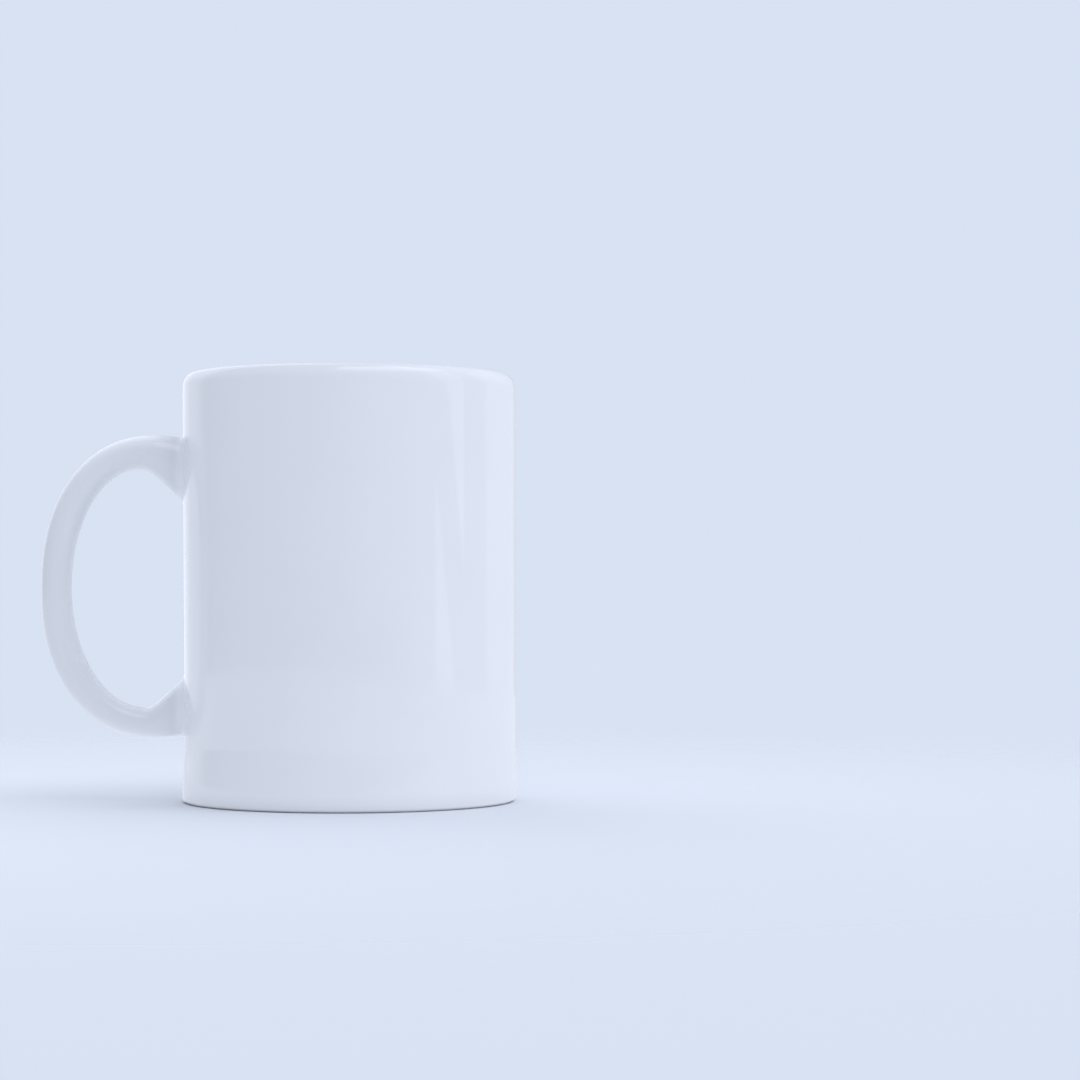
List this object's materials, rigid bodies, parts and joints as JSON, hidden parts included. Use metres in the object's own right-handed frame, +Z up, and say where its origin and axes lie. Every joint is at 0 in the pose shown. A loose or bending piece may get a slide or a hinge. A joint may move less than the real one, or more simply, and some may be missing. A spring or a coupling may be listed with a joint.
{
  "type": "ceramic mug",
  "caption": "Tall straight-sided white glazed mug with a rounded rim, a flat unglazed foot ring and a C-shaped side handle, left blank for decorating.",
  "frame": {"origin": "middle of the whole footprint, handle included, on the surface the mug stands on; the bowl's axis is 18.05 mm along +X from it", "axes": "+Z up along the bowl's axis, handle towards -X, +Y across the handle"},
  "size_m": [0.1222, 0.086, 0.1103],
  "materials": {
    "clay": "fired white stoneware, dry and matt",
    "slip": "fired slip under white gloss glaze",
    "glaze": "cool white gloss glaze"
  },
  "bodies": {
    "root": {"mug_body": "clay", "handle": "clay", "upper_slip_joint": "slip", "lower_slip_joint": "slip", "outer_glaze": "glaze", "inner_glaze": "glaze", "underside_glaze": "glaze", "handle_glaze": "glaze"}
  },
  "joints": []
}
